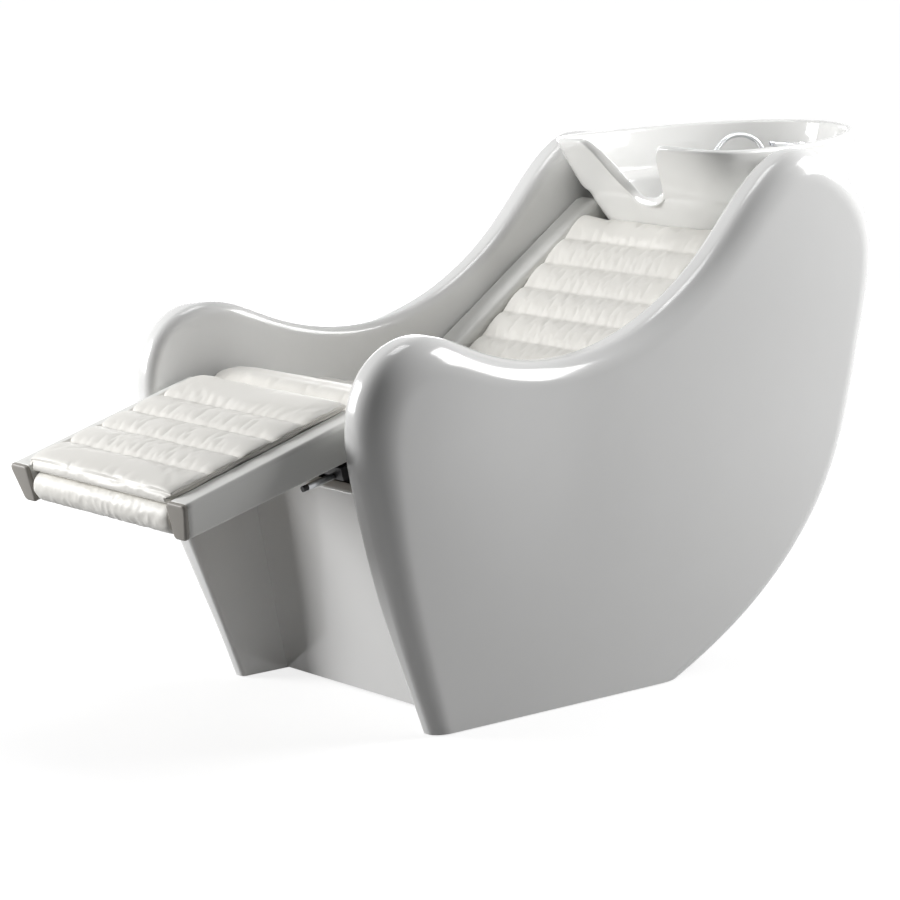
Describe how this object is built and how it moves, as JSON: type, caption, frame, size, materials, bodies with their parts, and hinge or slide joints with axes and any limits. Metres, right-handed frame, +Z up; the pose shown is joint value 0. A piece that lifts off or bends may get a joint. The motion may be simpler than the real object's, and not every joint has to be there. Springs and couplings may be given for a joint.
{
  "type": "salon backwash unit",
  "caption": "Salon backwash unit: a glossy one-piece-look shell holds a channelled reclining seat, a rising leg rest and a fixed wash basin with a neck notch.",
  "frame": {"origin": "on the floor, at the middle of the base plate", "axes": "+Z up, -Y towards the client's feet, +Y towards the basin, +X to the seated client's left"},
  "size_m": [0.6462, 1.7091, 0.935],
  "materials": {
    "gelcoat_white": "gloss",
    "vinyl_channelled": "satin",
    "vinyl_plain": "satin",
    "steel_black": "satin",
    "steel_bright": "satin",
    "plywood": "matte",
    "ceramic_white": "gloss",
    "plastic_white": "satin",
    "plastic_grey": "satin",
    "plastic_black": "matte",
    "chrome": "polished",
    "braided_steel": "satin"
  },
  "bodies": {
    "unit": {"left_side_shell": "gelcoat_white", "right_side_shell": "gelcoat_white", "front_panel": "gelcoat_white", "rear_shell": "gelcoat_white", "service_hatch": "gelcoat_white", "seat_cushion": "vinyl_channelled", "back_cushion": "vinyl_channelled", "left_seat_bolster": "vinyl_plain", "right_seat_bolster": "vinyl_plain", "left_back_bolster": "vinyl_plain", "right_back_bolster": "vinyl_plain", "base_plate": "steel_black", "base_frame": "steel_black", "seat_frame": "steel_black", "back_frame": "steel_black", "basin_cradle": "steel_black", "hinge_pins": "steel_bright", "actuator_bracket": "steel_bright", "hatch_screws": "steel_bright", "seat_board": "plywood", "back_board": "plywood", "basin": "ceramic_white", "basin_shroud": "plastic_white", "drain_trap": "plastic_white", "waste_pipe": "plastic_white", "switch_plate": "plastic_white", "actuator_body": "plastic_grey", "control_box": "plastic_grey", "mains_inlet": "plastic_black", "mixer_body": "chrome", "hose_ferrule": "chrome", "shower_hose": "chrome", "hand_shower": "chrome", "drain_flange": "chrome", "cold_hose": "braided_steel", "hot_hose": "braided_steel"},
    "leg_rest": {"leg_frame": "steel_black", "tube_plugs": "plastic_black", "leg_board": "plywood", "leg_cushion": "vinyl_channelled", "left_leg_rail": "vinyl_plain", "right_leg_rail": "vinyl_plain", "leg_rail_caps": "plastic_grey", "leg_front_roll": "vinyl_channelled", "roll_bar": "steel_bright"},
    "actuator_rod": {"actuator_rod": "steel_bright"},
    "mixer_cap": {"mixer_cap": "chrome"},
    "mixer_lever": {"mixer_lever": "chrome"},
    "raise_button": {"raise_button": "plastic_grey"},
    "lower_button": {"lower_button": "plastic_grey"}
  },
  "joints": [
    {"name": "leg_fold", "type": "hinge", "parent": "unit", "child": "leg_rest", "pos_m": [0, -0.347, 0.537], "axis": [1, 0, 0], "range_deg": [0, 73.7]},
    {"name": "actuator_stroke", "type": "slide", "parent": "unit", "child": "actuator_rod", "axis": [0, 0.9848, -0.1736], "range_m": [0, 0.136]},
    {"name": "mixer_turn", "type": "hinge", "parent": "unit", "child": "mixer_cap", "pos_m": [0.07, 0.81204, 0.89032], "axis": [0, 0, 1], "range_deg": [-45, 45]},
    {"name": "mixer_lift", "type": "hinge", "parent": "mixer_cap", "child": "mixer_lever", "pos_m": [0.07, 0.81204, 0.90932], "axis": [0, 1, 0], "range_deg": [0, 20]},
    {"name": "raise_press", "type": "slide", "parent": "unit", "child": "raise_button", "axis": [0.999, 0, 0.044], "range_m": [0, 0.0015], "stiffness_N_per_m": 800},
    {"name": "lower_press", "type": "slide", "parent": "unit", "child": "lower_button", "axis": [0.999, 0, 0.044], "range_m": [0, 0.0015], "stiffness_N_per_m": 800}
  ],
  "couplings": [
    {"joint": "actuator_stroke", "follows": "leg_fold", "m_per_rad": 0.10509}
  ]
}
